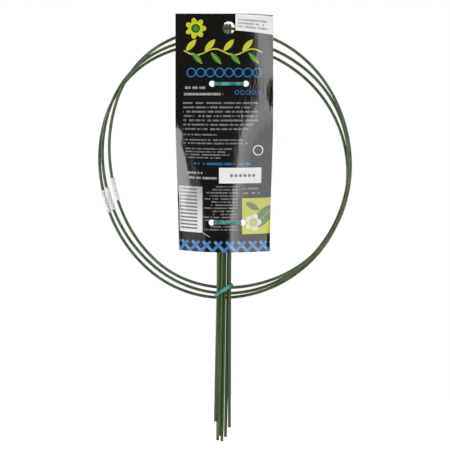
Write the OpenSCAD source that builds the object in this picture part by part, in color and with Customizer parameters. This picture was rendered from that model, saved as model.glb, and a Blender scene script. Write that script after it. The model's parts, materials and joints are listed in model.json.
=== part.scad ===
// Ring supports for plants, three nested on a hang card.
// Each support is an open wire ring, closed by a sleeve, with three straight legs that hang on it by an eye.
// X runs to the right, Y to the back and Z up, with the origin in the middle of the card's hang hole.

/* [Wire] */
// Diameter of the coated wire of rings and legs
wire_d = 2.2; // [2:0.1:3]
// Diameter of the steel core inside the coating
core_d = 1.5; // [0.8:0.1:1.7]
// Radial play between core and coating
core_play = 0.02; // [0.01:0.01:0.05]

/* [Rings] */
// Mean diameter of a ring on the wire's centreline
ring_d = 180.6; // [150:0.2:220]
// Gap between the two wire ends under the sleeve
butt_gap = 0.4; // [0.2:0.1:1]
// Where each ring's joint lies, front to rear, as an angle from the right
joint_angle = [194.4, 197.6, 196.4];
// Where each ring hangs in its legs, front to rear, as an angle from the right
hang_angle = [88.2, 85.2, 85.3];
// How far each ring's wire hangs below the hang hole, front to rear
hang_drop = [0.3, 7.4, 11.5];
// Two-lobed part of each ring's bent shape: amount and direction
oval = [[0.13, 16], [0.085, 25], [0.08, 32]];
// Three-lobed part of each ring's bent shape: amount and direction
trilobe = [[0.08, -54], [0.145, -39], [0.12, -45]];
// Four-lobed part of each ring's bent shape: amount and direction
quadlobe = [[0.16, 10], [0.06, 1], [0.065, 11]];

/* [Sleeves] */
// Length of the sleeve over a ring's joint
sleeve_l = 16.5; // [10:0.5:20]
// Wall of the sleeve
sleeve_wall = 0.7; // [0.4:0.1:1]
// Radial play of the sleeve on the wire
sleeve_play = 0.05; // [0.05:0.01:0.15]

/* [Legs] */
// Length of an untrimmed leg below its eye
leg_l = 285; // [200:1:400]
// What each leg is shorter than that, front to rear and left to right
leg_trim = [[3.4, 0, -0.6], [0, 3.8, 2.2], [0.8, 0.4, 4]];
// Radial play of a ring's wire in a leg's eye
eye_play = 0.25; // [0.2:0.05:0.6]
// Turn of the wire round the eye
eye_sweep = 290; // [250:5:300]
// Least gap between two legs that lie side by side
leg_gap = 0.15; // [0.1:0.05:0.6]
// Middle of the bundle of feet, to the right of the hang hole
foot_x = -4.6; // [-12:0.1:6]

/* [Card] */
// Width of the card
card_w = 70; // [60:1:90]
// Height of the card
card_h = 171; // [165:1:180]
// Thickness of the card
card_t = 0.4; // [0.3:0.05:0.6]
// Diameter of the hang hole
hang_d = 9; // [6:0.5:10]
// Hang hole's place: right of the card's middle and down from its top
hang_at = [3.1, 10.2];
// Height of the card's flat upper part
flat_h = 54; // [54:1:80]
// Turn of the card's side edges at its bottom, where it is bowed most
bow_angle = 37; // [5:1:45]
// How far the bowed lower corners are drawn up
corner_lift = 2; // [0:0.5:4]

/* [Stickers] */
// Thickness of a sticker
sticker_t = 0.1; // [0.05:0.01:0.2]
// Glue between sticker and bowed card
glue_t = 0.06; // [0.05:0.01:0.1]
// Price sticker's width, its left and its right height, down from the card's upper right corner
price_size = [27, 12, 14.4];
// Date sticker's left, right, top and bottom edges on the card, from its middle and its top
date_box = [-3.8, 26.9, 110.4, 121.6];

/* [Ties] */
// Width of a tie's ribbon
tie_w = 2.4; // [1.6:0.1:3]
// Thickness of a tie's ribbon
tie_t = 0.6; // [0.5:0.05:1]
// Side of the square steel wire in a ribbon
tie_core = 0.3; // [0.2:0.05:0.35]
// Room between a ribbon and what it goes round
tie_gap = 0.08; // [0.05:0.01:0.2]
// Diameter of the holes that a ribbon goes through
tie_hole_d = 4.3; // [4:0.1:5]
// Upper tie's holes: left, right and height down the card
upper_tie = [-8.7, 15.4, 50.2];
// Lower tie's holes: left, right and height down the card
lower_tie = [-9.1, 13.5, 149.7];
// Slope of the tie round the legs
leg_tie_slope = 33; // [0:1:45]
// How far that tie lies below the middle of the rings' lowest wires
leg_tie_drop = 2; // [0:0.5:6]
// Length of a tie's twisted tail
tail_l = 12; // [8:1:20]
// Turn of a tie's twisted tail
tail_twist = 900; // [360:90:1440]

/* [Hidden] */
$fn = 32;
FRONT = 0;
MIDDLE = 1;
REAR = 2;
LEFT = 0;
CENTRE = 1;
RIGHT = 2;

// Room between pieces that are stacked
stack_gap = 0.3;
// Arcs that make up a bent ring
ring_arcs = 16;
arc_step = 360 / ring_arcs;

wire_r = wire_d / 2;
sleeve_r = wire_r + sleeve_play + sleeve_wall;
eye_r = 2 * wire_r + eye_play;
eye_out_r = eye_r + wire_r;
leg_pitch = wire_d + leg_gap;
layer_pitch = sleeve_r + wire_r + stack_gap;

// Eyes and feet in pitches from the hang point and from foot_x
eye_slot = [[-1, 0, 1], [-2, 0, 2], [-2, 0, 2]];
foot_slot = [[-2.1, -1, 2.2], [-1, 0, 1], [-1.4, -0.1, 1]];
hang_x = [-1.4, 0, -leg_pitch];

// Depth of each ring's hang point, and of the feet of its legs
hang_y = [for (k = [FRONT:REAR]) card_t / 2 + stack_gap + eye_out_r + k * layer_pitch];
foot_y = [for (k = [FRONT:REAR]) hang_y[FRONT] - eye_r + k * leg_pitch];

card_x = -hang_at.x;
card_left = card_x - card_w / 2;
card_right = card_x + card_w / 2;

// Each ring's arcs: their radii and their centres, from the joint round to the left
function dir(a) = [cos(a), sin(a)];
function arc_mid(k, i) = joint_angle[k] + i * arc_step;
function lobe(shape, n, a) = shape[0] * cos(n * (a - shape[1]));
function arc_r(k, i) = let (a = arc_mid(k, i))
    ring_d / 2 * (1 + lobe(oval[k], 2, a) + lobe(trilobe[k], 3, a) + lobe(quadlobe[k], 4, a));
function arc_centres(k, i = 0, p = [0, 0]) = i == ring_arcs ? [] :
    let (r = arc_r(k, i), c = p - r * dir(arc_mid(k, i) - arc_step / 2))
    concat([c], arc_centres(k, i + 1, c + r * dir(arc_mid(k, i) + arc_step / 2)));
centres = [for (k = [FRONT:REAR]) arc_centres(k)];

// The arc that hangs in the eyes, its radius, and the hang point on it
function hang_arc(k) = (round((hang_angle[k] - joint_angle[k]) / arc_step) + ring_arcs) % ring_arcs;
hang_r = [for (k = [FRONT:REAR]) arc_r(k, hang_arc(k))];
hang_pt = [for (k = [FRONT:REAR]) centres[k][hang_arc(k)] + hang_r[k] * dir(hang_angle[k])];

// The rings lean back, so that their lowest wires pass behind the legs and the tie round them
ring_bottom = [for (k = [FRONT:REAR]) -hang_drop[k] - ring_d];
leg_tie_z = (ring_bottom[FRONT] + ring_bottom[REAR]) / 2 - leg_tie_drop;
legs_back = leg_at(REAR, CENTRE, leg_tie_z).y + wire_r / cos(leg_tie_slope);
ring_lean = asin((legs_back + tie_gap + tie_t + stack_gap + wire_r - hang_y[FRONT]) / ring_d);

// Eye and foot of a leg, and where its middle line is at a height
function eye_at(k, i) = let (o = eye_slot[k][i] * leg_pitch, a = acos(cos(hang_angle[k]) + o / hang_r[k]))
    [hang_x[k] + o, hang_y[k], -hang_drop[k] + hang_r[k] * (sin(a) - sin(hang_angle[k]))];
function foot_at(k, i) = let (e = eye_at(k, i))
    [foot_x + foot_slot[k][i] * leg_pitch, foot_y[k], e.z - leg_l + leg_trim[k][i]];
function leg_at(k, i, z) = let (e = eye_at(k, i) - [0, eye_r, 0], f = foot_at(k, i))
    e + (f - e) * (e.z - z) / (e.z - f.z);

// A point of the card, u across from its middle, v down from its top and h out of its mid-plane to the front
function ease(t) = t < 0.2 ? 2.5 * t * t : t - 0.1;
function bow(v) = v <= flat_h ? 0 : bow_angle * sin(100 * ease((v - flat_h) / (card_h - flat_h)));
function bow_r(v) = card_w / 2 / (bow(v) * PI / 180);
function lift(u, v) = corner_lift * bow(v) / bow_angle * pow(2 * u / card_w, 2);
function card_pt(u, v, h) = let (a = bow(v) * 2 * u / card_w)
    bow(v) == 0 ? [card_x + u, -h, hang_at.y - v] :
    [card_x + (bow_r(v) + h) * sin(a), bow_r(v) - (bow_r(v) + h) * cos(a), hang_at.y - v + lift(u, v)];

// The outline of a belt round circles [x, y, r] in turn, grown by its own thickness
function run_normal(p, q) = let (d = [q.x - p.x, q.y - p.y]) atan2(d.y, d.x) - acos((p.z - q.z) / norm(d));
function belt(cs, grow) = let (n = len(cs)) [
    for (i = [0:n - 1])
        let (from = run_normal(cs[(i + n - 1) % n], cs[i]), to = run_normal(cs[i], cs[(i + 1) % n]))
        let (sweep = (to - from + 720) % 360, steps = ceil(sweep * max(cs[i].z, 4) / 48) + 1)
        for (s = [0:steps]) [cs[i].x, cs[i].y] + (cs[i].z + grow) * dir(from + sweep * s / steps)];

// Bend of a ribbon where it goes into a hole, on the side of the hole that faces the other one
bend_r = 0.5;
ribbon_in = sqrt(pow(tie_hole_d, 2) - pow(tie_w, 2)) / 2 - tie_gap;
function hole_bend(x, side, v) = let (cx = card_x + x + side * (ribbon_in + bend_r), r = bow_r(v))
    let (face = bow(v) == 0 ? 0 : r - sqrt(pow(r, 2) - pow(cx - card_x, 2)))
    [cx, face - card_t / 2 - tie_gap + bend_r, bend_r];
function leg_round(k, i, z) = let (p = leg_at(k, i, z)) [p.x, p.y, wire_r + tie_gap];
function card_round(v) = bow(v) == 0 ? [] : [[card_x, bow_r(v), bow_r(v) + card_t / 2 + tie_gap]];
function card_tie(t) = let (z = hang_at.y - t[2]) concat(
    [hole_bend(t[0], 1, t[2])], card_round(t[2]), [hole_bend(t[1], -1, t[2])],
    [leg_round(REAR, RIGHT, z), leg_round(REAR, LEFT, z)]);

// The sloping tie's corners in its own plane, where a leg's section is longer and shifts across the ribbon
leg_tie_x = leg_at(FRONT, CENTRE, leg_tie_z).x;
function in_slope(k, i) = leg_at(k, i, leg_tie_z + (leg_at(k, i, leg_tie_z).x - leg_tie_x) * tan(leg_tie_slope));
slope_left = min([for (k = [FRONT:REAR]) in_slope(k, LEFT).x]);
slope_right = max([for (k = [FRONT:REAR]) in_slope(k, RIGHT).x]);
slope_back = max([for (i = [LEFT:RIGHT]) in_slope(REAR, i).y]);
function slope_corner(x, y, side) = [
    (x - leg_tie_x) / cos(leg_tie_slope) + side * tie_w / 2 * tan(leg_tie_slope), y,
    wire_r / cos(leg_tie_slope) + tie_gap];
leg_tie = [
    slope_corner(slope_left, foot_y[FRONT], -1), slope_corner(slope_right, foot_y[FRONT], 1),
    slope_corner(slope_right, slope_back, 1), slope_corner(slope_left, slope_back, -1)];

coat_colour = "#4f5d3c";
steel_colour = "#b9bcc0";
sleeve_colour = "#e1e1de";
card_colour = "#1d1a1c";
paper_colour = "#f1f0ee";
tie_colour = "#4a9c99";

// Section of the coating and of the core
module coat_section() {
    difference() {
        circle(d = wire_d);
        circle(d = core_d + 2 * core_play);
    }
}

module core_section() {
    circle(d = core_d);
}

// Moves a ring from its own plane to where it hangs
module on_ring(k) {
    translate([hang_x[k], hang_y[k], -hang_drop[k]])
        rotate([0, 90 - hang_angle[k], 0])
            rotate([ring_lean, 0, 0])
                rotate([0, hang_angle[k] - 90, 0])
                    translate([-hang_pt[k].x, 0, -hang_pt[k].y])
                        children();
}

// Moves in whole millimetres, then thousandths, then the rest, so that long numbers aren't rounded off
module fine_move(v) {
    whole = [for (c = v) round(c)];
    fine = [for (c = v - whole) round(1000 * c) / 1000];
    translate(whole)
        translate(fine)
            translate(v - whole - fine)
                children();
}

// Sweeps a section along part of a ring's arc
module ring_sweep(k, i, from, sweep) {
    fine_move([centres[k][i].x, 0, centres[k][i].y])
        rotate([90, 0, 0])
            rotate_extrude(angle = sweep, start = from, $fn = 96)
                fine_move([arc_r(k, i), 0])
                    children();
}

// A ring from one wire end round to the other
module ring_wire(k) {
    half_gap = round(butt_gap / arc_r(k, 0) * 9000 / PI) / 100;
    half_arc = arc_step / 2 - half_gap;
    on_ring(k) {
        ring_sweep(k, 0, arc_mid(k, 0) + half_gap, half_arc) children();
        ring_sweep(k, 0, arc_mid(k, 0) - arc_step / 2, half_arc) children();
        for (i = [1:ring_arcs - 1])
            ring_sweep(k, i, arc_mid(k, i) - arc_step / 2, arc_step) children();
    }
}

module ring_coat(k) {
    color(coat_colour) ring_wire(k) coat_section();
}

module ring_core(k) {
    color(steel_colour) ring_wire(k) core_section();
}

// A sleeve on the middle of its ring's joint
module sleeve(k) {
    sweep = sleeve_l / arc_r(k, 0) * 180 / PI;
    color(sleeve_colour)
        on_ring(k)
            ring_sweep(k, 0, arc_mid(k, 0) - sweep / 2, sweep)
                difference() {
                    circle(r = sleeve_r);
                    circle(r = wire_r + sleeve_play);
                }
}

// A straight leg with an eye round its ring's wire
module leg_wire(k, i) {
    run = foot_at(k, i) - (eye_at(k, i) - [0, eye_r, 0]);
    translate(eye_at(k, i))
        rotate([asin(run.y / norm(run)), atan(run.x / run.z), 0]) {
            rotate([90, 0, 90])
                rotate_extrude(angle = eye_sweep, start = 540 - eye_sweep, $fn = 48)
                    translate([eye_r, 0])
                        children();
            translate([0, -eye_r, -norm(run)])
                linear_extrude(norm(run))
                    children();
        }
}

module leg_coat(k, i) {
    color(coat_colour) leg_wire(k, i) coat_section();
}

module leg_core(k, i) {
    color(steel_colour) leg_wire(k, i) core_section();
}

// A closed piece of sheet that follows the card, in nu by nv fields
module bowed_sheet(us, vs, hs, nu, nv) {
    row = nu + 1;
    side = row * (nv + 1);
    points = [
        for (h = hs, j = [0:nv], i = [0:nu])
            card_pt(us[0] + (us[1] - us[0]) * i / nu, vs[0] + (vs[1] - vs[0]) * j / nv, h)];
    fields = [for (j = [0:nv - 1], i = [0:nu - 1]) j * row + i];
    rim = concat(
        [for (i = [0:nu - 1]) [i, i + 1]],
        [for (j = [0:nv - 1]) [j * row + nu, (j + 1) * row + nu]],
        [for (i = [nu:-1:1]) [nv * row + i, nv * row + i - 1]],
        [for (j = [nv:-1:1]) [j * row, (j - 1) * row]]);
    polyhedron(points, concat(
        [for (f = fields) [f, f + 1, f + row + 1]],
        [for (f = fields) [f, f + row + 1, f + row]],
        [for (f = fields) [side + f, side + f + row + 1, side + f + 1]],
        [for (f = fields) [side + f, side + f + row, side + f + row + 1]],
        [for (e = rim) [e[0], side + e[0], side + e[1]]],
        [for (e = rim) [e[0], side + e[1], e[1]]]));
}

// A hole through the card, from its front to its back
module card_hole(x, z, d) {
    translate([x, 0, z])
        rotate([-90, 0, 0])
            translate([0, 0, -card_w / 4])
                cylinder(d = d, h = card_w / 2);
}

module hang_card() {
    color(card_colour)
        difference() {
            union() {
                translate([card_left, -card_t / 2, hang_at.y - flat_h])
                    cube([card_w, card_t, flat_h]);
                bowed_sheet([-card_w / 2, card_w / 2], [flat_h, card_h], [card_t / 2, -card_t / 2], 14, 14);
            }
            card_hole(0, 0, hang_d);
            for (t = [upper_tie, lower_tie], x = [t[0], t[1]])
                card_hole(card_x + x, hang_at.y - t[2], tie_hole_d);
        }
}

module price_sticker() {
    color(paper_colour)
        translate([card_right, -card_t / 2, hang_at.y])
            rotate([90, 0, 0])
                linear_extrude(sticker_t)
                    polygon([
                        [-price_size[0], 0], [0, 0], [0, -price_size[2]], [-price_size[0], -price_size[1]]]);
}

module date_sticker() {
    color(paper_colour)
        bowed_sheet(
            [date_box[0], date_box[1]], [date_box[2], date_box[3]],
            [card_t / 2 + glue_t + sticker_t, card_t / 2 + glue_t], 8, 3);
}

// The closed band of a tie, between two growths of its belt
module tie_band(circles, width, inner, outer) {
    linear_extrude(width, center = true)
        difference() {
            polygon(belt(circles, outer));
            polygon(belt(circles, inner));
        }
}

module tie_ribbon_loop(circles) {
    room = tie_core + 2 * core_play;
    difference() {
        tie_band(circles, tie_w, 0, tie_t);
        tie_band(circles, room, (tie_t - room) / 2, (tie_t + room) / 2);
    }
}

module tie_wire_loop(circles) {
    color(steel_colour)
        tie_band(circles, tie_core, (tie_t - tie_core) / 2, (tie_t + tie_core) / 2);
}

// The two ends of a tie, twisted together behind the loop and spread at the bottom
module tie_tail() {
    spread = 24;
    translate([0, tie_w / 2, 0]) {
        rotate([180, 0, 90])
            linear_extrude(tail_l, twist = tail_twist, slices = 30, segments = 4)
                square([tie_w, 2 * tie_t], center = true);
        for (s = [-1, 1])
            translate([0, 0, -tail_l])
                rotate([0, s * spread, 0])
                    translate([-tie_t / 2, -tie_w / 2, -2 * tie_w])
                        cube([tie_t, tie_w, 2.5 * tie_w]);
    }
}

// A tie through the card and round the legs, with its tail at the back
module card_tie_at(t) {
    translate([0, 0, hang_at.y - t[2]]) children();
}

module card_tie_ribbon(t) {
    z = hang_at.y - t[2];
    back = leg_at(REAR, CENTRE, z);
    color(tie_colour)
        card_tie_at(t) {
            tie_ribbon_loop(card_tie(t));
            translate([back.x, back.y + wire_r + tie_gap + tie_t - tie_core / 2, 0])
                tie_tail();
        }
}

// Moves the tie round the legs into its sloping plane
module on_slope() {
    translate([leg_tie_x, 0, leg_tie_z])
        rotate([0, -leg_tie_slope, 0])
            children();
}

module leg_tie_ribbon() {
    start = leg_tie[3];
    color(tie_colour) {
        on_slope() tie_ribbon_loop(leg_tie);
        translate([
            leg_tie_x + start.x * cos(leg_tie_slope),
            start.y + start.z + tie_t - tie_core / 2,
            leg_tie_z + start.x * sin(leg_tie_slope)])
            tie_tail();
    }
}

ring_coat(FRONT);  // ring_front_coat
ring_core(FRONT);  // ring_front_core
sleeve(FRONT);  // sleeve_front
ring_coat(MIDDLE);  // ring_middle_coat
ring_core(MIDDLE);  // ring_middle_core
sleeve(MIDDLE);  // sleeve_middle
ring_coat(REAR);  // ring_rear_coat
ring_core(REAR);  // ring_rear_core
sleeve(REAR);  // sleeve_rear
leg_coat(FRONT, LEFT);  // leg_front_left_coat
leg_core(FRONT, LEFT);  // leg_front_left_core
leg_coat(FRONT, CENTRE);  // leg_front_centre_coat
leg_core(FRONT, CENTRE);  // leg_front_centre_core
leg_coat(FRONT, RIGHT);  // leg_front_right_coat
leg_core(FRONT, RIGHT);  // leg_front_right_core
leg_coat(MIDDLE, LEFT);  // leg_middle_left_coat
leg_core(MIDDLE, LEFT);  // leg_middle_left_core
leg_coat(MIDDLE, CENTRE);  // leg_middle_centre_coat
leg_core(MIDDLE, CENTRE);  // leg_middle_centre_core
leg_coat(MIDDLE, RIGHT);  // leg_middle_right_coat
leg_core(MIDDLE, RIGHT);  // leg_middle_right_core
leg_coat(REAR, LEFT);  // leg_rear_left_coat
leg_core(REAR, LEFT);  // leg_rear_left_core
leg_coat(REAR, CENTRE);  // leg_rear_centre_coat
leg_core(REAR, CENTRE);  // leg_rear_centre_core
leg_coat(REAR, RIGHT);  // leg_rear_right_coat
leg_core(REAR, RIGHT);  // leg_rear_right_core
hang_card();
price_sticker();
date_sticker();
card_tie_ribbon(upper_tie);  // upper_tie_ribbon
card_tie_at(upper_tie) tie_wire_loop(card_tie(upper_tie));  // upper_tie_wire
card_tie_ribbon(lower_tie);  // lower_tie_ribbon
card_tie_at(lower_tie) tie_wire_loop(card_tie(lower_tie));  // lower_tie_wire
leg_tie_ribbon();
on_slope() tie_wire_loop(leg_tie);  // leg_tie_wire
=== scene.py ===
"""Looks of a shop pack of plant support rings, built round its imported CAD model.

Everything is in metres and in the CAD model's frame: X to the right, Y to the back and Z up, with the
origin in the middle of the card's hang hole. Sizes of single pieces are in millimetres.
"""

from __future__ import annotations

import json
import logging
import math
from dataclasses import dataclass, field
from enum import Enum
from typing import Any, Callable, Iterable, Optional, Sequence, Union

import bmesh
import bpy
from mathutils import Matrix, Vector, noise

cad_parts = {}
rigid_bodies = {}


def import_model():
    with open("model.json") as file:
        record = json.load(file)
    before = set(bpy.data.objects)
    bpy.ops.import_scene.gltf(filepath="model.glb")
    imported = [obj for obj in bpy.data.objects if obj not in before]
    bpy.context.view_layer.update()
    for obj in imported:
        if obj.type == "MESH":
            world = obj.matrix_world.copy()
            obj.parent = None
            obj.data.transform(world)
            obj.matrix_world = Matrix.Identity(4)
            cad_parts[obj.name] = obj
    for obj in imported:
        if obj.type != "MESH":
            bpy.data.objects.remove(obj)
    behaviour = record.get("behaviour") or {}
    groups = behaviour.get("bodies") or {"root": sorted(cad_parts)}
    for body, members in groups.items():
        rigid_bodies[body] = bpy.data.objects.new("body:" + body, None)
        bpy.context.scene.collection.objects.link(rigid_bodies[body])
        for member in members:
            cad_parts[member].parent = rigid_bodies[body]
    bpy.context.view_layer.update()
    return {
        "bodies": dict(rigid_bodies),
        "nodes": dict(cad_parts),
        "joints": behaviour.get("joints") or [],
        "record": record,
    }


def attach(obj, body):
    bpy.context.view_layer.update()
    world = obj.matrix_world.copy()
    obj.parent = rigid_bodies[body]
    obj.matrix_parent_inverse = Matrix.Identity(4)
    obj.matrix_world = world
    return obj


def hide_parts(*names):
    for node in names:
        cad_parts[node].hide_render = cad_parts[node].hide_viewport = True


log = logging.getLogger("ring_pack")

MM = 0.001
ROUND_SIDES = 48
BMesh = bmesh.types.BMesh
Material = bpy.types.Material
Object = bpy.types.Object
Socket = bpy.types.NodeSocket
Colour = tuple[float, float, float, float]
Triple = tuple[float, float, float]
Number = Union["Value", float]


def srgb(red: int, green: int, blue: int) -> Colour:
    """Turns a screen's colour into the linear one that a shader needs.

    Args:
        red: Red from 0 to 255.
        green: Green from 0 to 255.
        blue: Blue from 0 to 255.

    Returns:
        The linear colour with full alpha.
    """

    def linear(channel: int) -> float:
        """Linear value of one channel."""
        share = channel / 255
        return share / 12.92 if share <= 0.04045 else ((share + 0.055) / 1.055) ** 2.4

    return linear(red), linear(green), linear(blue), 1.0


class Layer(Enum):
    """Where a ring support lies in the pack."""

    FRONT = "front"
    MIDDLE = "middle"
    REAR = "rear"


class Side(Enum):
    """Place of a leg among the three of its ring."""

    LEFT = "left"
    CENTRE = "centre"
    RIGHT = "right"


class Knot(Enum):
    """Place of a twist tie."""

    UPPER = "upper"
    LOWER = "lower"
    LEG = "leg"


class Grain(Enum):
    """Stretch of a wire's drawing marks along X, Y and Z."""

    ROUND = (1.0, 1.0, 1.0)
    UPRIGHT = (1.0, 1.0, 0.06)


class Marking(Enum):
    """What a label carries."""

    LINES = "greeked lines"
    DOTS = "a row of dots"


def maths_step(operation: str, swapped: bool = False) -> Callable[..., Value]:
    """Makes an operator of Value from a step of shader maths, with its two numbers swapped if asked."""

    def work(value: Value, *others: Number) -> Value:
        """Works out the step."""
        return value.shader.math(operation, *((*others, value) if swapped else (value, *others)))

    return work


@dataclass
class Value:
    """A number that a shader works out at each point; & takes the smaller of two and | the larger."""

    shader: Shader
    socket: Socket

    __add__ = maths_step("ADD")
    __radd__ = maths_step("ADD", swapped=True)
    __sub__ = maths_step("SUBTRACT")
    __rsub__ = maths_step("SUBTRACT", swapped=True)
    __mul__ = maths_step("MULTIPLY")
    __rmul__ = maths_step("MULTIPLY", swapped=True)
    __truediv__ = maths_step("DIVIDE")
    __and__ = maths_step("MINIMUM")
    __or__ = maths_step("MAXIMUM")
    __abs__ = maths_step("ABSOLUTE")
    __floor__ = maths_step("FLOOR")
    rest = maths_step("FRACT")

    def above(self, low: float, high: float) -> Value:
        """Rises smoothly from 0 at low to 1 at high."""
        sockets = {"Value": self, "From Min": low, "From Max": high}
        node = self.shader.node("ShaderNodeMapRange", sockets, interpolation_type="SMOOTHSTEP")
        return Value(self.shader, node.outputs["Result"])


class Shader:
    """The node tree of a material or of the world."""

    def __init__(self, tree: bpy.types.NodeTree) -> None:
        """Starts with an empty tree."""
        self.tree = tree
        tree.nodes.clear()

    def node(self, kind: str, sockets: Optional[dict[Any, Any]] = None, **settings: Any) -> bpy.types.Node:
        """Adds any node.

        Args:
            kind: The node's type.
            sockets: Values or links of its input sockets, by name or by number.
            settings: Its settings, which are set first.

        Returns:
            The new node.
        """
        node = self.tree.nodes.new(kind)
        for name, setting in settings.items():
            setattr(node, name, setting)
        for key, given in (sockets or {}).items():
            source = given.socket if isinstance(given, Value) else given
            if isinstance(source, Socket):
                self.tree.links.new(source, node.inputs[key])
            else:
                node.inputs[key].default_value = source
        return node

    def math(self, operation: str, *numbers: Number, clamp: bool = False) -> Value:
        """Works out one step of shader maths."""
        sockets = dict(enumerate(numbers))
        node = self.node("ShaderNodeMath", sockets, operation=operation, use_clamp=clamp)
        return Value(self, node.outputs[0])

    def mix(self, share: Number, first: Any, second: Any) -> Socket:
        """Mixes two colours.

        Args:
            share: How much of the second colour is taken, from 0 to 1.
            first: Colour or socket.
            second: Colour or socket.

        Returns:
            The mixed colour's socket.
        """
        return self.node("ShaderNodeMix", {0: share, 6: first, 7: second}, data_type="RGBA").outputs[2]

    def parts(self, kind: str) -> list[Value]:
        """The three coordinates of the given kind."""
        place = self.node("ShaderNodeTexCoord").outputs[kind]
        split = self.node("ShaderNodeSeparateXYZ", {"Vector": place})
        return [Value(self, output) for output in split.outputs]

    def cloud(self, size_mm: float, detail: float, stretch: Sequence[float] = (1, 1, 1)) -> Value:
        """Soft noise.

        Args:
            size_mm: Size of its largest spots.
            detail: Number of finer layers.
            stretch: Scale of the coordinates along each axis.

        Returns:
            A number about 0.5.
        """
        scaled = {"Vector": self.node("ShaderNodeTexCoord").outputs["Object"], "Scale": stretch}
        place = self.node("ShaderNodeMapping", scaled).outputs["Vector"]
        sockets = {"Vector": place, "Scale": 1 / (size_mm * MM), "Detail": detail}
        return Value(self, self.node("ShaderNodeTexNoise", sockets).outputs["Fac"])

    def chance(self, column: Number, row: Number) -> Value:
        """An even random number from 0 to 1 for each cell of a table."""
        cell = self.node("ShaderNodeCombineXYZ", {"X": column, "Y": row}).outputs["Vector"]
        node = self.node("ShaderNodeTexWhiteNoise", {"Vector": cell}, noise_dimensions="2D")
        return Value(self, node.outputs["Value"])

    def far(self, x: Value, y: Value) -> Value:
        """Length of the line to x and y."""
        return self.math("SQRT", x * x + y * y)

    def rays(self) -> tuple[Value, Value]:
        """Two numbers that are 1 for camera rays, and 1 for mirror and see-through rays."""
        path = self.node("ShaderNodeLightPath")
        camera, mirror, through = (
            Value(self, path.outputs[f"Is {ray} Ray"]) for ray in ("Camera", "Glossy", "Transmission"))
        return camera, mirror | through

    def bump(self, height: Value, depth_mm: float, strength: float) -> Socket:
        """Normals of a relief of the given depth."""
        sockets = {"Height": height, "Distance": depth_mm * MM, "Strength": strength}
        return self.node("ShaderNodeBump", sockets).outputs["Normal"]

    def principled(self, **sockets: Any) -> Socket:
        """A principled surface; underscores in the names stand for spaces."""
        named = {name.replace("_", " "): given for name, given in sockets.items()}
        return self.node("ShaderNodeBsdfPrincipled", named).outputs["BSDF"]


@dataclass(frozen=True)
class Finish:
    """A named finish that makes its material."""

    name: str

    def dress(self, shader: Shader) -> Socket:
        """Builds the finish in an empty tree and returns its surface."""
        raise NotImplementedError

    def material(self) -> Material:
        """Makes the material of this finish."""
        material = bpy.data.materials.new(self.name)
        material.use_nodes = True
        shader = Shader(material.node_tree)
        shader.node("ShaderNodeOutputMaterial", {"Surface": self.dress(shader)})
        return material


@dataclass(frozen=True)
class CoatedWire(Finish):
    """Satin green plastic that is drawn over wire."""

    deep: Colour
    light: Colour
    grain: Grain
    chalk: Colour = srgb(120, 132, 104)

    def dress(self, shader: Shader) -> Socket:
        """Green with drawing marks, faint cloudiness and a few chalky scuffs."""
        tone = shader.cloud(9, 3, self.grain.value)
        fine = shader.cloud(0.7, 2, self.grain.value)
        scuff = shader.cloud(3.5, 4).above(0.62, 0.74)
        colour = shader.mix(tone.above(0.3, 0.7), self.deep, self.light)
        return shader.principled(
            Base_Color=shader.mix(scuff * 0.3, colour, self.chalk),
            Roughness=0.36 + 0.1 * fine + 0.16 * scuff, Specular_IOR_Level=0.42,
            Normal=shader.bump(tone + 0.1 * fine, 0.06, 0.3))


@dataclass(frozen=True)
class MilkyTube(Finish):
    """Soft, milky plastic tube."""

    body: Colour
    cloudy: Colour

    def dress(self, shader: Shader) -> Socket:
        """Milky white with faint clouds and a waxy gloss."""
        cloud = shader.cloud(4, 3)
        fine = shader.cloud(1.5, 2)
        return shader.principled(
            Base_Color=shader.mix(cloud.above(0.35, 0.7), self.body, self.cloudy),
            Roughness=0.4 + 0.15 * fine, Specular_IOR_Level=0.35,
            Normal=shader.bump(cloud + 0.2 * fine, 0.05, 0.2))


@dataclass(frozen=True)
class DrawnSteel(Finish):
    """Bare drawn steel wire."""

    bright: Colour
    dull: Colour

    def dress(self, shader: Shader) -> Socket:
        """Grey metal with dull spots."""
        spot = shader.cloud(1.2, 3).above(0.4, 0.7)
        return shader.principled(
            Base_Color=shader.mix(spot, self.bright, self.dull), Metallic=1.0, Roughness=0.3 + 0.25 * spot)


@dataclass(frozen=True)
class TiePlastic(Finish):
    """Thin plastic ribbon of a twist tie."""

    deep: Colour
    light: Colour

    def dress(self, shader: Shader) -> Socket:
        """Turquoise, paler where the ribbon was bent."""
        bent = shader.cloud(5, 3)
        fine = shader.cloud(0.5, 2)
        return shader.principled(
            Base_Color=shader.mix(bent.above(0.35, 0.68), self.deep, self.light),
            Roughness=0.32 + 0.16 * fine, Normal=shader.bump(fine + 2 * bent, 0.05, 0.5))


@dataclass(frozen=True)
class RawBoard(Finish):
    """Uncoated board, as on the card's back and cut edges."""

    board: Colour
    fleck: Colour

    def dress(self, shader: Shader) -> Socket:
        """Pale board with flecks and fibres."""
        fibres = shader.cloud(0.7, 4)
        flecks = shader.cloud(1.6, 2).above(0.66, 0.74)
        spots = fibres.above(0.4, 0.8) * 0.4 + flecks * 0.5
        return shader.principled(
            Base_Color=shader.mix(spots, self.board, self.fleck), Roughness=0.75 + 0.15 * fibres,
            Specular_IOR_Level=0.25, Normal=shader.bump(fibres, 0.03, 0.5))


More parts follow.
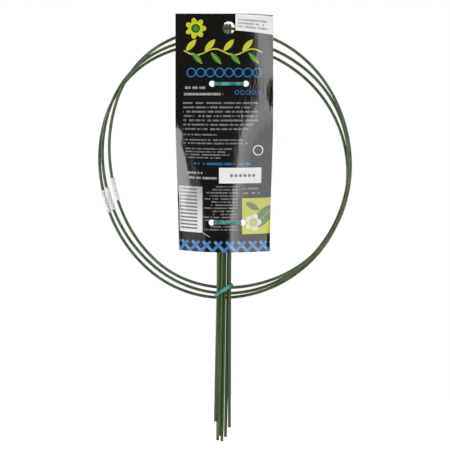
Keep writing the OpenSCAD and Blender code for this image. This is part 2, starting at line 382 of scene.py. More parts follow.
@dataclass(frozen=True)
class StageWhite(Finish):
    """White floor that keeps the shadow; its mirror image is dim in front."""

    paint: Colour
    lift: float
    near: float
    far: float

    def dress(self, shader: Shader) -> Socket:
        """Matt white, lifted a little for camera and mirror rays near the object and fully far from it."""
        x, y, _ = shader.parts("Object")
        away = shader.far(x, y).above(self.near, self.far)
        matt = shader.node("ShaderNodeBsdfDiffuse", {"Color": self.paint}).outputs[0]
        camera, mirror = shader.rays()
        strength = (camera + mirror * y.above(0.0, self.near)) * (self.lift + (1 - self.lift) * away)
        glow = shader.node("ShaderNodeEmission", {"Strength": strength}).outputs[0]
        return shader.node("ShaderNodeAddShader", {0: matt, 1: glow}).outputs[0]


@dataclass(frozen=True)
class TextBlock:
    """A block of greeked lines: its edges, its rows and how far they may fall short."""

    left: float
    right: float
    top: float
    pitch: float
    count: int
    height: float
    ragged: float = 0.0
    flush_right: bool = False


class PrintPlan:
    """A print in millimetres, with u to the right of the sheet's middle and v down from its top.

    Shapes are given by the depth of a point in them, which is below 0 outside. So & gives what two
    shapes share and | gives both together.
    """

    lead = 0.2
    letter = 0.75
    stroke = 0.3
    gaps = 0.17, 0.18
    line_soft = 0.3

    def __init__(self, shader: Shader, width: float, height: float) -> None:
        """Reads the sheet's own map, which spans all of it."""
        self.shader = shader
        across, up, _ = shader.parts("UV")
        self.u = (across - 0.5) * width
        self.v = (1 - up) * height
        self.ground: Any = None

    def ink(self, mask: Value, colour: Any) -> None:
        """Prints a colour over what is there, where the mask is 1."""
        self.ground = self.shader.mix(mask, self.ground, colour)

    def inside(self, depth: Value, soft: float = 0.16) -> Value:
        """Mask of a shape, with an edge of the given softness."""
        return self.shader.math("MULTIPLY_ADD", depth, 1 / soft, 0.5, clamp=True)

    def fill(self, depth: Value, colour: Any) -> None:
        """Prints a shape in a colour."""
        self.ink(self.inside(depth), colour)

    def band(self, x: Value, low: float, high: float) -> Value:
        """A band from low to high."""
        return (high - low) / 2 - abs(x - (low + high) / 2)

    def panel(self, left: float, right: float, top: float, bottom: float) -> Value:
        """A rectangle."""
        return self.band(self.u, left, right) & self.band(self.v, top, bottom)

    def disc(self, x: Value, y: Value, radius: float) -> Value:
        """A disc."""
        return radius - self.shader.far(x, y)

    def ring(self, x: Value, y: Value, radius: float, stroke: float) -> Value:
        """A drawn ring."""
        return stroke / 2 - abs(self.disc(x, y, radius))

    def along(self, start: float, pitch: float) -> Value:
        """Distance along u from the start of each cell of a row."""
        return ((self.u - start) / pitch).rest() * pitch

    def chain(self, left: float, right: float, v: float, pitch: float, radius: float, stroke: float) -> Value:
        """A row of drawn rings, or of dots if their radius is 0.

        Args:
            left: Where the row starts.
            right: Where it ends.
            v: How far down the sheet it is.
            pitch: From one ring to the next.
            radius: Radius of a ring.
            stroke: Width of its line.

        Returns:
            The row.
        """
        x = self.along(left, pitch) - pitch / 2
        return self.ring(x, self.v - v, radius, stroke) & self.band(self.u, left, right)

    def turned(self, x: Value, y: Value, turn: float) -> tuple[Value, Value]:
        """Distances along and from an axis that is turned by degrees clockwise from the right."""
        cos, sin = math.cos(math.radians(turn)), math.sin(math.radians(turn))
        return x * cos + y * sin, abs(y * cos - x * sin)

    def leaf(self, x: Value, y: Value, turn: float, half_length: float, half_width: float) -> Value:
        """A pointed leaf.

        Args:
            x: Distance to the right of its middle.
            y: Distance below its middle.
            turn: Turn of its long axis, in degrees clockwise from the right.
            half_length: Half its length.
            half_width: Half its width.

        Returns:
            The leaf.
        """
        radius = (half_length ** 2 + half_width ** 2) / (2 * half_width)
        along, across = self.turned(x, y, turn)
        return self.disc(along, across + (radius - half_width), radius)

    def blossom(self, x: Value, y: Value, radius: float, petals: int) -> Value:
        """A round blossom with notched petals."""
        turn = self.shader.math("ARCTAN2", y, x)
        wave = abs(self.shader.math("COSINE", turn * (petals / 2)))
        return (0.62 + 0.38 * wave) * radius - self.shader.far(x, y)

    def lines(self, block: TextBlock) -> Value:
        """Mask of greeked lines: rows of dashes in the place of words, with uneven ink."""
        row = (self.v - block.top) / block.pitch
        index = math.floor(row)
        frame = self.panel(block.left, block.right, block.top, block.top + block.pitch * block.count)
        level = self.band(row.rest() * block.pitch, self.lead, block.height + self.lead)
        short = self.shader.chance(index, block.top) * block.ragged
        reach = self.u - block.left - short if block.flush_right else block.right - short - self.u
        letters, strokes = (math.floor(self.u / (w * block.height)) for w in (self.letter, self.stroke))
        word = self.shader.chance(letters, index + block.top).above(*self.gaps)
        uneven = 0.45 + 0.5 * self.shader.chance(strokes, index + 2 * block.top)
        return self.inside(frame & reach & level, self.line_soft) * word * uneven


@dataclass(frozen=True)
class LabelPaper(Finish):
    """White label paper with a grey marking."""

    width: float
    height: float
    marking: Marking
    paper: Colour = srgb(238, 238, 236)
    fibre: Colour = srgb(224, 224, 222)
    grey: Colour = srgb(96, 96, 100)

    def mask(self, plan: PrintPlan) -> Value:
        """Mask of the marking."""
        if self.marking is Marking.DOTS:
            return plan.inside(plan.chain(-8.0, 11.2, self.height / 2, 3.2, 0.0, 2.3)) * 0.85
        half = self.width / 2
        return plan.lines(TextBlock(1.6 - half, half - 1.2, 3.9, 2.85, 3, 1.5, 7)) * 0.75

    def dress(self, shader: Shader) -> Socket:
        """White with faint fibres, a soft tone across the sheet and the marking."""
        plan = PrintPlan(shader, self.width, self.height)
        fibres = shader.cloud(0.5, 4, (1, 1, 3))
        tone = shader.cloud(12, 2)
        spots = (fibres * 0.5 + tone * 0.5).above(0.4, 0.75) * 0.7
        plan.ground = shader.mix(spots, self.paper, self.fibre)
        plan.ink(self.mask(plan), self.grey)
        return shader.principled(
            Base_Color=plan.ground, Roughness=0.55 + 0.2 * fibres, Specular_IOR_Level=0.3,
            Normal=shader.bump(fibres, 0.02, 0.4))


BLUE_LINE = TextBlock(-22.3, 20.4, 106.6, 4, 1, 1.7)
BOLD_LINES = (
    TextBlock(-28.8, -13.6, 52.0, 4, 1, 1.7),
    TextBlock(-28.8, -1.0, 56.6, 4, 1, 1.7),
    TextBlock(-26.6, -13.5, 113.4, 3, 1, 1.5),
    TextBlock(-26.6, -5.4, 117.0, 3, 1, 1.5))
FINE_LINES = (
    TextBlock(-29.4, 26.5, 63.2, 3.12, 7, 1.25, 9),
    TextBlock(-29.4, -5.2, 86.1, 3, 1, 1.05),
    TextBlock(-29.4, 18.5, 89.9, 2.45, 2, 1.0, 6),
    TextBlock(-28.0, 8.0, 96.3, 2.13, 4, 0.95, 12),
    TextBlock(-15.2, 9.8, 123.3, 2.2, 15, 0.95, 10, flush_right=True),
    TextBlock(13.0, 29.4, 124.6, 3.2, 2, 1.3, 9))


@dataclass(frozen=True)
class PrintedCard(Finish):
    """Glossy laminated print: a sprig, greeked lines, a trellis band and a picture of leaves on black."""

    width: float
    height: float
    black: Colour = srgb(14, 14, 12)
    hazy_black: Colour = srgb(24, 23, 20)
    yellow: Colour = srgb(202, 207, 50)
    green: Colour = srgb(72, 138, 58)
    blue: Colour = srgb(46, 118, 182)
    deep_blue: Colour = srgb(40, 94, 148)
    slat: Colour = srgb(62, 126, 188)
    pale_slat: Colour = srgb(96, 148, 192)
    white: Colour = srgb(226, 226, 224)
    meadow: Colour = srgb(188, 188, 74)
    moss: Colour = srgb(110, 116, 78)
    cream: Colour = srgb(226, 220, 200)
    # Grey of the printed rules, also mixed into the ruled panel as painted shade.
    rule_grey_and_painted_shade: Colour = srgb(112, 112, 110)
    bold_ink: float = 0.6
    fine_ink: float = 0.36

    def sprig(self, plan: PrintPlan) -> None:
        """A blossom at the upper left, and a wavy sprig with leaves across the card below it."""
        left, right, middle, pitch, slant = -29.0, 27.0, 27.5, 13.5, 48.0
        wave = plan.shader.math("SINE", plan.u * (math.pi / pitch)) * 2.2
        stem = (0.5 - abs(plan.v - middle - wave)) & plan.band(plan.u, left, right)
        step = plan.along(left, pitch)
        reach = plan.band(plan.u, left, left + 4 * pitch)
        upper = plan.leaf(step - 5.2, plan.v - 22.6, -slant, 5.6, 2.0) & reach
        x, y = step - 9.6, plan.v - 32.0
        lower = plan.leaf(x, y, slant, 5.4, 1.9) & reach
        plan.fill(stem | upper, self.yellow)
        plan.fill(lower, self.green)
        plan.fill(lower & (0.18 - plan.turned(x, y, slant)[1]), self.yellow)
        x, y = plan.u + 20.5, plan.v - 10.6
        plan.fill(plan.blossom(x, y, 7.6, 7), self.yellow)
        plan.fill(plan.disc(x, y, 3.1), self.black)
        plan.fill(plan.disc(x, y, 2.3), self.green)

    def lettering(self, plan: PrintPlan) -> None:
        """Two chains of drawn rings as headings, then blue, bold and fine lines, and a ring as a sign."""
        plan.fill(plan.chain(-27.0, 27.0, 42.2, 6.75, 3.0, 0.8), self.blue)
        plan.fill(plan.chain(7.0, 27.0, 56.4, 4.0, 1.35, 0.7), self.deep_blue)
        plan.ink(plan.lines(BLUE_LINE), self.blue)
        for blocks, share in ((BOLD_LINES, self.bold_ink), (FINE_LINES, self.fine_ink)):
            for block in blocks:
                plan.ink(plan.lines(block) * share, self.white)
        plan.fill(plan.ring(plan.u - 24.4, plan.v - 98, 3.4, 0.7), self.white)

    def ruled_panel(self, plan: PrintPlan) -> None:
        """A white panel at the left, greyed towards its top as painted shade, with even printed rules."""
        pitch, half_rule = 2.55, 0.62
        # Painted shade: the panel's white turns towards grey near its top.
        grey = (1 - plan.v.above(124, 152)) * 0.6
        paper = plan.shader.mix(grey, self.white, self.rule_grey_and_painted_shade)
        plan.fill(plan.panel(-33.8, -15.8, 124.2, 157.2), paper)
        rules = half_rule - abs((plan.v / pitch).rest() - 0.5) * pitch
        plan.fill(rules & plan.panel(-33.2, -19.6, 125.6, 155.4), self.rule_grey_and_painted_shade)

    def picture(self, plan: PrintPlan) -> None:
        """Two leaves and a blossom on a bright ground, at the right."""
        mix = plan.shader.mix
        frame = plan.panel(12.8, 35.2, 132.2, 158.0)
        glow = plan.v.above(130, 170)
        plan.fill(frame, mix(glow, self.meadow, self.yellow))
        x, y, slant = plan.u - 29.5, plan.v - 145.5, -42.0
        big = plan.leaf(x, y, slant, 12.5, 5.2) & frame
        small = plan.leaf(plan.u - 20.5, plan.v - 138.2, 28, 6.0, 2.2) & frame
        plan.fill(big | small, mix(glow, self.moss, self.green))
        plan.fill(big & (0.2 - plan.turned(x, y, slant)[1]), self.meadow)
        x, y = plan.u - 21.2, plan.v - 149.8
        plan.fill(plan.blossom(x, y, 6.4, 5) & frame, self.cream)
        plan.ink(plan.inside(plan.ring(x, y, 2.2, 1.8) & frame, 1.2) * 0.5, self.moss)
        plan.fill(plan.disc(x, y, 1.3), self.yellow)

    def trellis(self, plan: PrintPlan) -> None:
        """Falling and rising slats at the bottom, whose upper ends are cut square."""
        top, pitch, half_slat = 163.3, 8.37, 1.45
        x, y = plan.u + 4.3, plan.v - 166.0
        for lean, colour in ((-1, self.pale_slat), (1, self.slat)):
            off = (((x + y * lean) / pitch + 0.5).rest() - 0.5) * pitch
            plan.fill((half_slat - abs(off)) & (plan.v - top - off * (lean / 2)), colour)

    def wear(self, plan: PrintPlan) -> None:
        """White edges where the film is rubbed off, and a short crease below the ruled panel."""
        half = self.width / 2
        rubbed = (0.45 - plan.panel(-half, half, 0, self.height)).above(0.0, 0.4)
        spots = plan.shader.cloud(2.5, 3).above(0.5, 0.7)
        plan.ink(rubbed * spots * 0.7, self.white)
        x, y = plan.u + 13.2, plan.v - 158.6
        crease = plan.band(x, -2.5, 2.5) & (0.22 - abs(y - 0.55 * x))
        plan.ink(plan.inside(crease, 0.3) * 0.8, self.white)

    def dress(self, shader: Shader) -> Socket:
        """All print under one glossy film, with dust, streaks and wear."""
        plan = PrintPlan(shader, self.width, self.height)
        dust = shader.cloud(1.5, 5).above(0.66, 0.8)
        haze = shader.cloud(14, 3, (1, 1, 0.25))
        streaks = shader.cloud(2.2, 3, (1, 1, 0.15))
        torn = plan.v.above(40, 55) * (1 - plan.v.above(75, 95))
        plan.ground = shader.mix(haze, self.black, self.hazy_black)
        for draw in (self.sprig, self.lettering, self.ruled_panel, self.picture, self.trellis, self.wear):
            draw(plan)
        return shader.principled(
            Base_Color=plan.ground, Roughness=0.07 + 0.06 * haze + 0.25 * dust, Specular_IOR_Level=0.6,
            Coat_Weight=0.7, Coat_Roughness=0.04,
            Normal=shader.bump(streaks * (1 + 1.6 * torn) + 0.3 * dust, 0.09, 0.6))


@dataclass(frozen=True)
class Dent:
    """A soft dent of the board, with its middle and reach along u and v, in millimetres."""

    u: float
    v: float
    reach_u: float
    reach_v: float
    depth: float

    def back(self, u: float, v: float) -> float:
        """How far it pushes a point back."""
        x, y = (u - self.u) / self.reach_u, (v - self.v) / self.reach_v
        return self.depth * math.exp(-x ** 2 - y ** 2)


@dataclass(frozen=True)
class HolePair:
    """Two tie holes: their places to the right of the card's middle, and their distance from its top."""

    left: float
    right: float
    v: float


@dataclass(frozen=True)
class CardShape:
    """The bent card: flat at the top, bowed back at the sides towards its bottom, with slight waves.

    Each wave has its lengths along u and v, its pattern and its share. Near holes the waves are still.
    """

    width: float = 70.0
    height: float = 171.0
    thickness: float = 0.4
    hang_d: float = 9.0
    hang_right: float = 3.1
    hang_down: float = 10.2
    tie_d: float = 4.3
    tie_holes: tuple[HolePair, ...] = (HolePair(-8.7, 15.4, 50.2), HolePair(-9.1, 13.5, 149.7))
    flat: float = 54.0
    bow_angle: float = 37.0
    corner_lift: float = 2.0
    right_lift: float = 0.9
    curl: float = 1.7
    curl_from: float = 10.0
    curl_end: float = 130.0
    corner_drop: float = 1.2
    drop_end: float = 40.0
    wave: float = 0.07
    waves: tuple[tuple[float, ...], ...] = ((21, 26, 3.7, 1.0), (7, 9, 8.1, 0.4))
    still_reach: float = 14.0
    hang_loose: float = 12.0
    dents: tuple[Dent, ...] = (
        Dent(37, 58, 4, 14, -0.45), Dent(-40, 98, 8, 20, 1.1), Dent(18, 119, 9, 18, -0.5))

    def holes(self) -> list[Triple]:
        """Place and diameter of each hole, as u, v and d."""
        ties = [(u, pair.v, self.tie_d) for pair in self.tie_holes for u in (pair.left, pair.right)]
        return [(self.hang_right, self.hang_down, self.hang_d), *ties]

    def bow(self, v: float) -> float:
        """Turn of the side edges at v, in radians."""
        if v <= self.flat:
            return 0.0
        share = (v - self.flat) / (self.height - self.flat)
        eased = 2.5 * share * share if share < 0.2 else share - 0.1
        return math.radians(self.bow_angle) * math.sin(math.radians(100 * eased))

    def radius(self, v: float) -> float:
        """Radius of the bow at v, in millimetres."""
        return self.width / 2 / self.bow(v)

    def curled(self, u: float) -> float:
        """Square of how far u lies in the curled right part, as a share of that part."""
        return (max(0.0, u - self.curl_from) / (self.width / 2 - self.curl_from)) ** 2

    def unrest(self, u: float, v: float) -> float:
        """How far the board stands back from the drawn form: a curled right edge, soft waves and dents."""
        from_hang = self.hang_loose + abs(v - self.hang_down)
        still = min(from_hang, *(abs(v - pair.v) for pair in self.tie_holes)) / self.still_reach
        ease = min(1.0, still) ** 2
        fade = max(0.0, 1 - v / self.curl_end) ** 0.5
        wave = sum(share * noise.noise(Vector((u / a, v / b, at))) for a, b, at, share in self.waves)
        dents = sum(dent.back(u, v) for dent in self.dents)
        return self.curl * self.curled(u) * fade + self.wave * wave * ease + dents

    def rise(self, u: float, v: float) -> float:
        """How far the board is lifted at its lower corners, and dropped at the upper right one."""
        lift = self.corner_lift if u < 0 else self.right_lift
        bowed = (2 * u / self.width) ** 2 * self.bow(v) / math.radians(self.bow_angle)
        return lift * bowed - self.corner_drop * self.curled(u) * max(0.0, 1 - v / self.drop_end)

    def point(self, u: float, v: float, h: float) -> Vector:
        """A point of the card.

        Args:
            u: Distance to the right of its middle, in millimetres.
            v: Distance below its top, in millimetres.
            h: Distance in front of its mid-plane, in millimetres.

        Returns:
            The point, in metres.
        """
        angle = self.bow(v)
        x, y, z = u, -h, self.hang_down - v + self.rise(u, v)
        if angle > 1e-6:
            turn = angle * 2 * u / self.width
            radius = self.radius(v)
            x = (radius + h) * math.sin(turn)
            y = radius - (radius + h) * math.cos(turn)
        return Vector((x - self.hang_right, y + self.unrest(u, v), z)) * MM


def put(name: str, content: Any) -> Object:
    """Puts a mesh, a lamp or a camera in the scene and returns its object."""
    holder = bpy.data.objects.new(name, content)
    bpy.context.scene.collection.objects.link(holder)
    return holder


def to_mesh(name: str, bm: BMesh) -> bpy.types.Mesh:
    """Turns an editing mesh into a mesh, and frees it."""
    mesh = bpy.data.meshes.new(name)
    bm.to_mesh(mesh)
    bm.free()
    return mesh


def thin_sheet(cells: tuple[int, int], size: tuple[float, float], middle: Vector, thickness: float) -> BMesh:
    """Makes a flat closed sheet, whose map spans it.

    Args:
        cells: Number of columns and rows.
        size: Width and height.
        middle: Where its middle lies before it gets its thickness.
        thickness: Its thickness.

    Returns:
        The sheet.
    """
    bm = bmesh.new()
    bmesh.ops.create_grid(bm, x_segments=cells[0], y_segments=cells[1], size=0.5, calc_uvs=True)
    uv = bm.loops.layers.uv.verify()
    for face in bm.faces:
        for loop in face.loops:
            loop[uv].uv = (loop.vert.co.x + 0.5, loop.vert.co.y + 0.5)
    bmesh.ops.scale(bm, vec=(*size, 1), verts=bm.verts)
    bmesh.ops.translate(bm, vec=middle, verts=bm.verts)
    bmesh.ops.solidify(bm, geom=bm.faces[:], thickness=thickness)
    bmesh.ops.recalc_face_normals(bm, faces=bm.faces)
    return bm


@dataclass
class Piece:
    """A new mesh piece that rides on a body of the pack."""

    name: str
    body: str
    bm: BMesh = field(default_factory=bmesh.new)

    def finish(self, materials: Sequence[Material], stands_for: Iterable[str], slot: str,
               sharp: float = 60.0) -> Object:
        """Turns the mesh into a piece.

        Args:
            materials: Its materials, by slot number.
            stands_for: CAD nodes that it replaces.
            slot: The record's material slot; it is not used.
            sharp: Angle in degrees above which an edge stays sharp.

        Returns:
            The piece's object.
        """
        mesh = to_mesh(self.name, self.bm)
        mesh.shade_smooth()
        mesh.set_sharp_from_angle(angle=math.radians(sharp))
        for material in materials:
            mesh.materials.append(material)
        piece = put(self.name, mesh)
        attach(piece, self.body)
        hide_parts(*stands_for)
        log.info("%s: %d faces on %s", self.name, len(mesh.polygons), self.body)
        return piece


@dataclass
class HangCard:
    """The printed card with its hang hole and the holes for the ties."""

    shape: CardShape
    cells: tuple[int, int] = (70, 150)

    def cutter(self) -> BMesh:
        """One round plug for each hole."""
        bm = bmesh.new()
        for u, v, d in self.shape.holes():
            bmesh.ops.create_cone(
                bm, cap_ends=True, segments=ROUND_SIDES, radius1=d / 2, radius2=d / 2,
                depth=4 * self.shape.thickness, matrix=Matrix.Translation((u, -v, 0)))
        return bm

    def build(self, front: Finish, back: Finish, edge: Finish) -> Object:
        """Cuts the holes, sorts the faces to their finishes and bends the card.

        Args:
            front: Finish of the printed side.
            back: Finish of the back.
            edge: Finish of the cut edges.

        Returns:
            The card.
        """
        piece = Piece("printed_card", "pack")
        shape = self.shape
        middle = Vector((0, -shape.height / 2, shape.thickness / 2))
        flat = thin_sheet(self.cells, (shape.width, shape.height), middle, shape.thickness)
        sheet, plugs = (put("scratch", to_mesh("scratch", bm)) for bm in (flat, self.cutter()))
        bpy.context.view_layer.update()
        cut = sheet.modifiers.new("holes", "BOOLEAN")
        cut.object = plugs
        cut.solver = "EXACT"
        graph = bpy.context.evaluated_depsgraph_get()
        piece.bm.from_mesh(sheet.evaluated_get(graph).to_mesh())
        for scratch in (sheet, plugs):
            bpy.data.objects.remove(scratch)
        level = 0.9
        for face in piece.bm.faces:
            upward = face.normal.z
            face.material_index = 0 if upward > level else 1 if upward < -level else 2
        bmesh.ops.triangulate(piece.bm, faces=[f for f in piece.bm.faces if len(f.verts) > 4])
        for vert in piece.bm.verts:
            vert.co = shape.point(vert.co.x, -vert.co.y, vert.co.z)
        return piece.finish([f.material() for f in (front, back, edge)], ["hang_card"], "card")


@dataclass
class Sticker:
    """A paper sticker that follows the card; top and bottom are given at its left and at its right."""

    name: str
    left: float
    right: float
    top: tuple[float, float]
    bottom: tuple[float, float]
    stand_off: float
    shape: CardShape
    thickness: float = 0.1
    cells: tuple[int, int] = (30, 12)

    def place(self, across: float, down: float, height: float) -> Vector:
        """Point of the bent sticker, from its shares across and down and its height over its back."""
        top, bottom = (low + (high - low) * across for low, high in (self.top, self.bottom))
        u = self.left + (self.right - self.left) * across
        v = top + (bottom - top) * down
        return self.shape.point(u, v, self.shape.thickness / 2 + self.stand_off + height)

    def build(self, marking: Marking) -> Object:
        """Bends a thin sheet over the card, with a marking on it, and returns it."""
        sheet = thin_sheet(self.cells, (1, 1), Vector(), self.thickness)
        piece = Piece(f"paper_{self.name}", "pack", sheet)
        base = min(vert.co.z for vert in sheet.verts)
        for vert in sheet.verts:
            vert.co = self.place(vert.co.x + 0.5, 0.5 - vert.co.y, vert.co.z - base)
        size = self.right - self.left, self.bottom[1] - self.top[0]
        paper = LabelPaper(f"{self.name}_paper", *size, marking)
        return piece.finish([paper.material()], [self.name], "sticker")


@dataclass(frozen=True)
class LegLine:
    """The straight run of a leg, from beside its eye to its foot, in millimetres."""

    top: Triple
    foot: Triple

    def at(self, z: float) -> Vector:
        """Point of the leg at a height."""
        share = (self.top[2] - z) / (self.top[2] - self.foot[2])
        return Vector(self.top).lerp(Vector(self.foot), share)


@dataclass
class TwistTie:
    """A twist tie: a ribbed plastic ribbon in a closed loop, with its two ends twisted together."""

    knot: Knot
    circles: list[Triple]
    place: Matrix
    tail_top: Vector
    width: float
    thickness: float
    wing: float = 0.26
    tail: float = 12.0
    turns: float = 2.5
    spread: float = 24.0
    loop_step: float = 0.7
    tail_steps: int = 60
    spread_step: float = 0.55
    spread_steps: int = 8

    def loop_frames(self) -> list[Matrix]:
        """Frames along the belt round the circles, X outwards and Z across the ribbon."""
        frames = []
        count = len(self.circles)

        def leaving(p: Triple, q: Triple) -> float:
            """Direction outwards along the straight run from p to q."""
            run = Vector((q[0] - p[0], q[1] - p[1]))
            return math.atan2(run.y, run.x) - math.acos((p[2] - q[2]) / run.length)

        for i, (x, y, radius) in enumerate(self.circles):
            start = leaving(self.circles[i - 1], self.circles[i])
            sweep = (leaving(self.circles[i], self.circles[(i + 1) % count]) - start) % (2 * math.pi)
            steps = max(3, math.ceil(sweep * max(radius, 4) / self.loop_step))
            middle = radius + self.thickness / 2
            for s in range(steps + 1):
                turn = start + sweep * s / steps
                place = Vector((x + middle * math.cos(turn), y + middle * math.sin(turn), 0)) * MM
                frames.append(self.place @ Matrix.Translation(place) @ Matrix.Rotation(turn, 4, "Z"))
        return frames

    def tail_frames(self, side: int) -> list[Matrix]:
        """Frames down one of the two twisted ends, which spread at the bottom."""
        frames = []
        apart = Matrix.Translation((side * self.thickness / 2 * MM, 0, 0))
        upright = Matrix.Rotation(math.pi / 2, 4, "X")
        for s in range(self.tail_steps + 1):
            share = s / self.tail_steps
            turn = Matrix.Rotation(2 * math.pi * self.turns * share, 4, "Z")
            down = Matrix.Translation(self.tail_top * MM + Vector((0, 0, -self.tail * share * MM)))
            frames.append(down @ turn @ apart @ upright)
        angle = math.radians(self.spread) / self.spread_steps
        bend = Matrix.Rotation(-side * angle, 4, "Y")
        for s in range(1, self.spread_steps + 1):
            step = Vector((side * math.sin(angle * s), 0, -math.cos(angle * s))) * self.spread_step * MM
            last = frames[-1]
            frames.append(Matrix.Translation(step + last.translation) @ bend @ last.to_3x3().to_4x4())
        return frames

    def half_depth(self, across: float) -> float:
        """Half the ribbon's thickness at a distance from its middle: a round rib with thin wings."""
        rib = math.sqrt(max(0.0, (self.thickness / 2) ** 2 - across ** 2))
        edge = max(0.0, 1 - (2 * across / self.width) ** 8) ** 0.5
        return max(rib, self.wing / 2 * edge)

    def sweep(self, bm: BMesh, frames: Sequence[Matrix], closed: bool) -> None:
        """Extrudes the ribbon's section along frames.

        Args:
            bm: Mesh that gets the ribbon.
            frames: Frames to go through.
            closed: Whether the end meets the start.
        """
        section = bmesh.ops.create_circle(bm, segments=ROUND_SIDES, radius=1.0)["verts"]
        for vert in section:
            across = self.width / 2 * vert.co.x
            vert.co = Vector((math.copysign(self.half_depth(abs(across)), vert.co.y), 0, across)) * MM
        first = list({edge for vert in section for edge in vert.link_edges})
        bmesh.ops.transform(bm, matrix=frames[0], verts=section)
        edges = first
        for here, there in zip(frames, frames[1:]):
            grown = bmesh.ops.extrude_edge_only(bm, edges=edges)["geom"]
            verts = [g for g in grown if isinstance(g, bmesh.types.BMVert)]
            edges = [g for g in grown if isinstance(g, bmesh.types.BMEdge) and len(g.link_faces) == 1]
            bmesh.ops.transform(bm, matrix=there @ here.inverted(), verts=verts)
        if closed:
            bmesh.ops.bridge_loops(bm, edges=first + edges)
        else:
            bmesh.ops.holes_fill(bm, edges=first + edges, sides=0)

    def build(self, plastic: Material) -> Object:
        """Sweeps the loop and both ends and returns the tie."""
        piece = Piece(f"{self.knot.value}_twist_tie", "pack")
        self.sweep(piece.bm, self.loop_frames(), True)
        for side in (-1, 1):
            self.sweep(piece.bm, self.tail_frames(side), False)
        bmesh.ops.recalc_face_normals(piece.bm, faces=piece.bm.faces)
        return piece.finish([plastic], [f"{self.knot.value}_tie_ribbon"], "tie_ribbon", sharp=50)


@dataclass
class Ties:
    """The three ties: two through the card and round the legs, and a sloping one round the legs alone."""

    shape: CardShape
    wire_r: float = 1.1
    gap: float = 0.08
    width: float = 2.4
    thickness: float = 0.6
    bend_r: float = 0.5
    slope: float = 33.0
    slope_z: float = -188.5
    tail_in: float = 3.6
    back_play: float = 0.01
    front_left: LegLine = LegLine((-3.75, 1.6, -0.256), (-9.535, 1.6, -281.856))
    front_centre: LegLine = LegLine((-1.4, 1.6, -0.3), (-6.95, 1.6, -285.3))
    front_right: LegLine = LegLine((0.95, 1.6, -0.404), (0.57, 1.6, -286.004))
    rear_left: LegLine = LegLine((-7.05, 8.1, -11.224), (-7.89, 6.3, -295.424))
    rear_centre: LegLine = LegLine((-2.35, 8.1, -11.5), (-4.835, 6.3, -296.1))
    rear_right: LegLine = LegLine((2.35, 8.1, -11.998), (-2.25, 6.3, -292.998))

    def through_card(self, knot: Knot, holes: HolePair) -> TwistTie:
        """A tie through two holes of the card and round the rear legs."""
        shape = self.shape
        z = shape.hang_down - holes.v
        inset = math.sqrt(shape.tie_d ** 2 - self.width ** 2) / 2 - self.gap + self.bend_r
        radius = shape.radius(holes.v) if shape.bow(holes.v) > 0 else None

        def bend(x: float) -> Triple:
            """Circle of the bend where the ribbon goes into a hole."""
            sink = radius - math.sqrt(radius ** 2 - x ** 2) if radius else 0.0
            return x - shape.hang_right, sink - shape.thickness / 2 - self.gap + self.bend_r, self.bend_r

        def leg(line: LegLine) -> Triple:
            """Circle round a leg."""
            at = line.at(z)
            return at.x, at.y, self.wire_r + self.gap

        circles = [bend(holes.left + inset)]
        if radius:
            circles.append((-shape.hang_right, radius, radius + shape.thickness / 2 + self.gap))
        circles += [bend(holes.right - inset), leg(self.rear_right), leg(self.rear_left)]
        back = self.rear_centre.at(z)
        top = Vector((back.x, back.y + self.wire_r + self.gap + self.thickness + self.width / 2, z))
        level = Matrix.Translation((0, 0, z * MM))
        return TwistTie(knot, circles, level, top, self.width, self.thickness)

    def round_legs(self) -> TwistTie:
        """The sloping tie round all legs."""
        slope = math.radians(self.slope)
        pivot = self.front_centre.at(self.slope_z)
        radius = self.wire_r / math.cos(slope) + self.gap
        shift = self.width / 2 * math.tan(slope)

        def across(line: LegLine, side: int) -> float:
            """Place of a leg in the sloping plane."""
            level = self.slope_z + (line.at(self.slope_z).x - pivot.x) * math.tan(slope)
            return (line.at(level).x - pivot.x) / math.cos(slope) + side * shift

        left = min(across(line, -1) for line in (self.front_left, self.rear_left))
        right = across(self.front_right, 1)
        front, back = pivot.y, self.rear_left.at(self.slope_z).y + self.back_play
        circles = [(x, y, radius) for x, y in ((left, front), (right, front), (right, back), (left, back))]
        place = Matrix.Translation((pivot.x * MM, 0, self.slope_z * MM)) @ Matrix.Rotation(-slope, 4, "Y")
        behind = left + self.tail_in
        top = Vector((
            pivot.x + behind * math.cos(slope), back + radius + self.thickness + self.width / 2,
            self.slope_z + behind * math.sin(slope)))
        return TwistTie(Knot.LEG, circles, place, top, self.width, self.thickness)

    def build(self, plastic: Material) -> list[Object]:
        """Builds the three ties and returns them."""
        upper, lower = self.shape.tie_holes
        ties = [self.through_card(Knot.UPPER, upper), self.through_card(Knot.LOWER, lower), self.round_legs()]
        return [tie.build(plastic) for tie in ties]


@dataclass
class WireWork:
    """Rings, sleeves and legs, which keep their CAD shapes and get their finishes."""

    nodes: dict[str, Object]

    def dress(self, name: str, material: Material) -> None:
        """Gives a CAD node a material."""
        for slot in self.nodes[name].material_slots:
            slot.material = material
        log.info("%s: %s", name, material.name)

    def build(self, ring: Finish, leg: Finish, sleeve: Finish, steel: Finish) -> None:
        """Dresses every wire.

        Args:
            ring: Finish of the rings' coating.
            leg: Finish of the legs' coating.
            sleeve: Finish of the sleeves.
            steel: Finish of cores and tie wires.
        """
        coat, straight, tube, core = (finish.material() for finish in (ring, leg, sleeve, steel))
        for layer in Layer:
            self.dress(f"ring_{layer.value}_coat", coat)
            self.dress(f"ring_{layer.value}_core", core)
            self.dress(f"sleeve_{layer.value}", tube)
            for side in Side:
                self.dress(f"leg_{layer.value}_{side.value}_coat", straight)
                self.dress(f"leg_{layer.value}_{side.value}_core", core)
        for knot in Knot:
            self.dress(f"{knot.value}_tie_wire", core)


@dataclass(frozen=True)
class SoftBox:
    """A rectangular lamp: its direction in degrees to the right of the camera, then metres, then watts."""

    name: str
    bearing: float
    rise: float
    reach: float
    width: float
    height: float
    power: float


